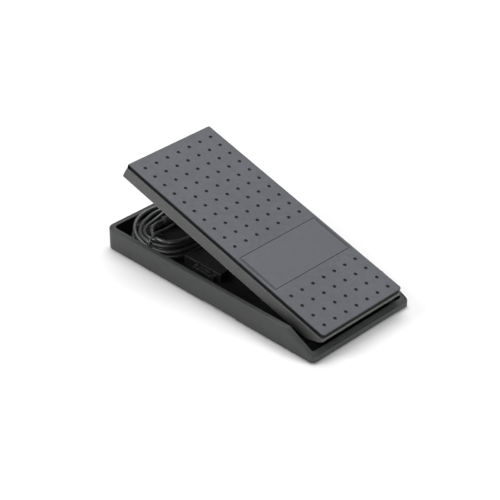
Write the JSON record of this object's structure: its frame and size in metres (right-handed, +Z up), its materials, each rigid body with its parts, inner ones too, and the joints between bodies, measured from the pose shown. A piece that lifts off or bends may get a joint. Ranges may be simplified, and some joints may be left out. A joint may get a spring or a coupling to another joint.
{
  "type": "foot controller pedal",
  "caption": "Rocking foot controller: a wedge treadle with a pitted mat pivots on a low tray, turning a geared potentiometer; its lead and jack plug are stowed in the toe of the tray.",
  "frame": {"origin": "centre of the footprint, on the floor under the rubber feet", "axes": "+X to the user's right, +Y from heel to toe, +Z up"},
  "size_m": [0.1346, 0.284, 0.1006],
  "materials": {
    "tray_plastic": "fine-textured dark grey moulding",
    "treadle_plastic": "fine-textured dark grey moulding",
    "mat_rubber": "matt grey rubber with round pits",
    "painted_steel": "black semi-matt paint",
    "black_screws": "black oxide",
    "foot_rubber": "matt black",
    "stop_rubber": "matt black",
    "zinc_steel": "zinc-plated sheet",
    "zinc_steel_screws": "zinc plated",
    "bright_steel": "ground bar",
    "spring_steel": "phosphated",
    "nylon": "natural nylon",
    "clamp_nylon": "natural nylon",
    "fibre": "vulcanised fibre",
    "gear_acetal": "white acetal",
    "gear_acetal_dark": "black acetal",
    "brass": "turned",
    "pot_body": "pressed can",
    "cover_plastic": "black moulding",
    "cord_pvc": "satin black PVC",
    "wire_pvc": "PVC insulation",
    "tie_vinyl": "satin black vinyl",
    "plug_plastic": "ribbed black moulding",
    "insulator": "black",
    "nickel": "nickel plated"
  },
  "bodies": {
    "base": {"base_tray": "tray_plastic", "bottom_plate": "painted_steel", "base_screws": "black_screws", "rubber_feet": "foot_rubber", "pivot_stand": "zinc_steel", "stand_screws": "zinc_steel_screws", "shaft_bushes": "nylon", "friction_washers": "fibre", "potentiometer": "pot_body", "pot_nut": "brass", "pot_bracket": "zinc_steel", "pot_bracket_screws": "zinc_steel_screws", "mechanism_cover": "cover_plastic", "cover_screws": "black_screws", "heel_stops": "stop_rubber", "toe_stops": "stop_rubber", "strain_relief": "cord_pvc", "cord_tail": "cord_pvc", "cord_clamp": "clamp_nylon", "clamp_screw": "zinc_steel_screws", "lead_wires": "wire_pvc", "cord_lead": "cord_pvc", "cord_coil": "cord_pvc", "coil_tie": "tie_vinyl", "plug_barrel": "plug_plastic", "plug_boot": "plug_plastic", "plug_sleeve": "nickel", "plug_insulators": "insulator", "plug_ring": "nickel", "plug_tip": "nickel", "cord_plug_end": "cord_pvc"},
    "treadle": {"treadle_frame": "treadle_plastic", "tread_mat": "mat_rubber", "treadle_bracket": "zinc_steel", "bracket_screws": "zinc_steel_screws", "pivot_shaft": "bright_steel", "shaft_clips": "spring_steel", "spring_washers": "spring_steel", "sector_gear": "gear_acetal"},
    "pot_rotor": {"pot_pinion": "gear_acetal_dark", "pot_shaft": "brass"}
  },
  "joints": [
    {"name": "treadle_rock", "type": "hinge", "parent": "base", "child": "treadle", "pos_m": [0, -0.052, 0.0285], "axis": [1, 0, 0], "range_deg": [-16, 0]},
    {"name": "pot_turn", "type": "hinge", "parent": "base", "child": "pot_rotor", "pos_m": [0, -0.00418, 0.02432], "axis": [1, 0, 0], "range_deg": [0, 80]}
  ],
  "couplings": [
    {"joint": "pot_turn", "follows": "treadle_rock", "ratio": -5}
  ]
}
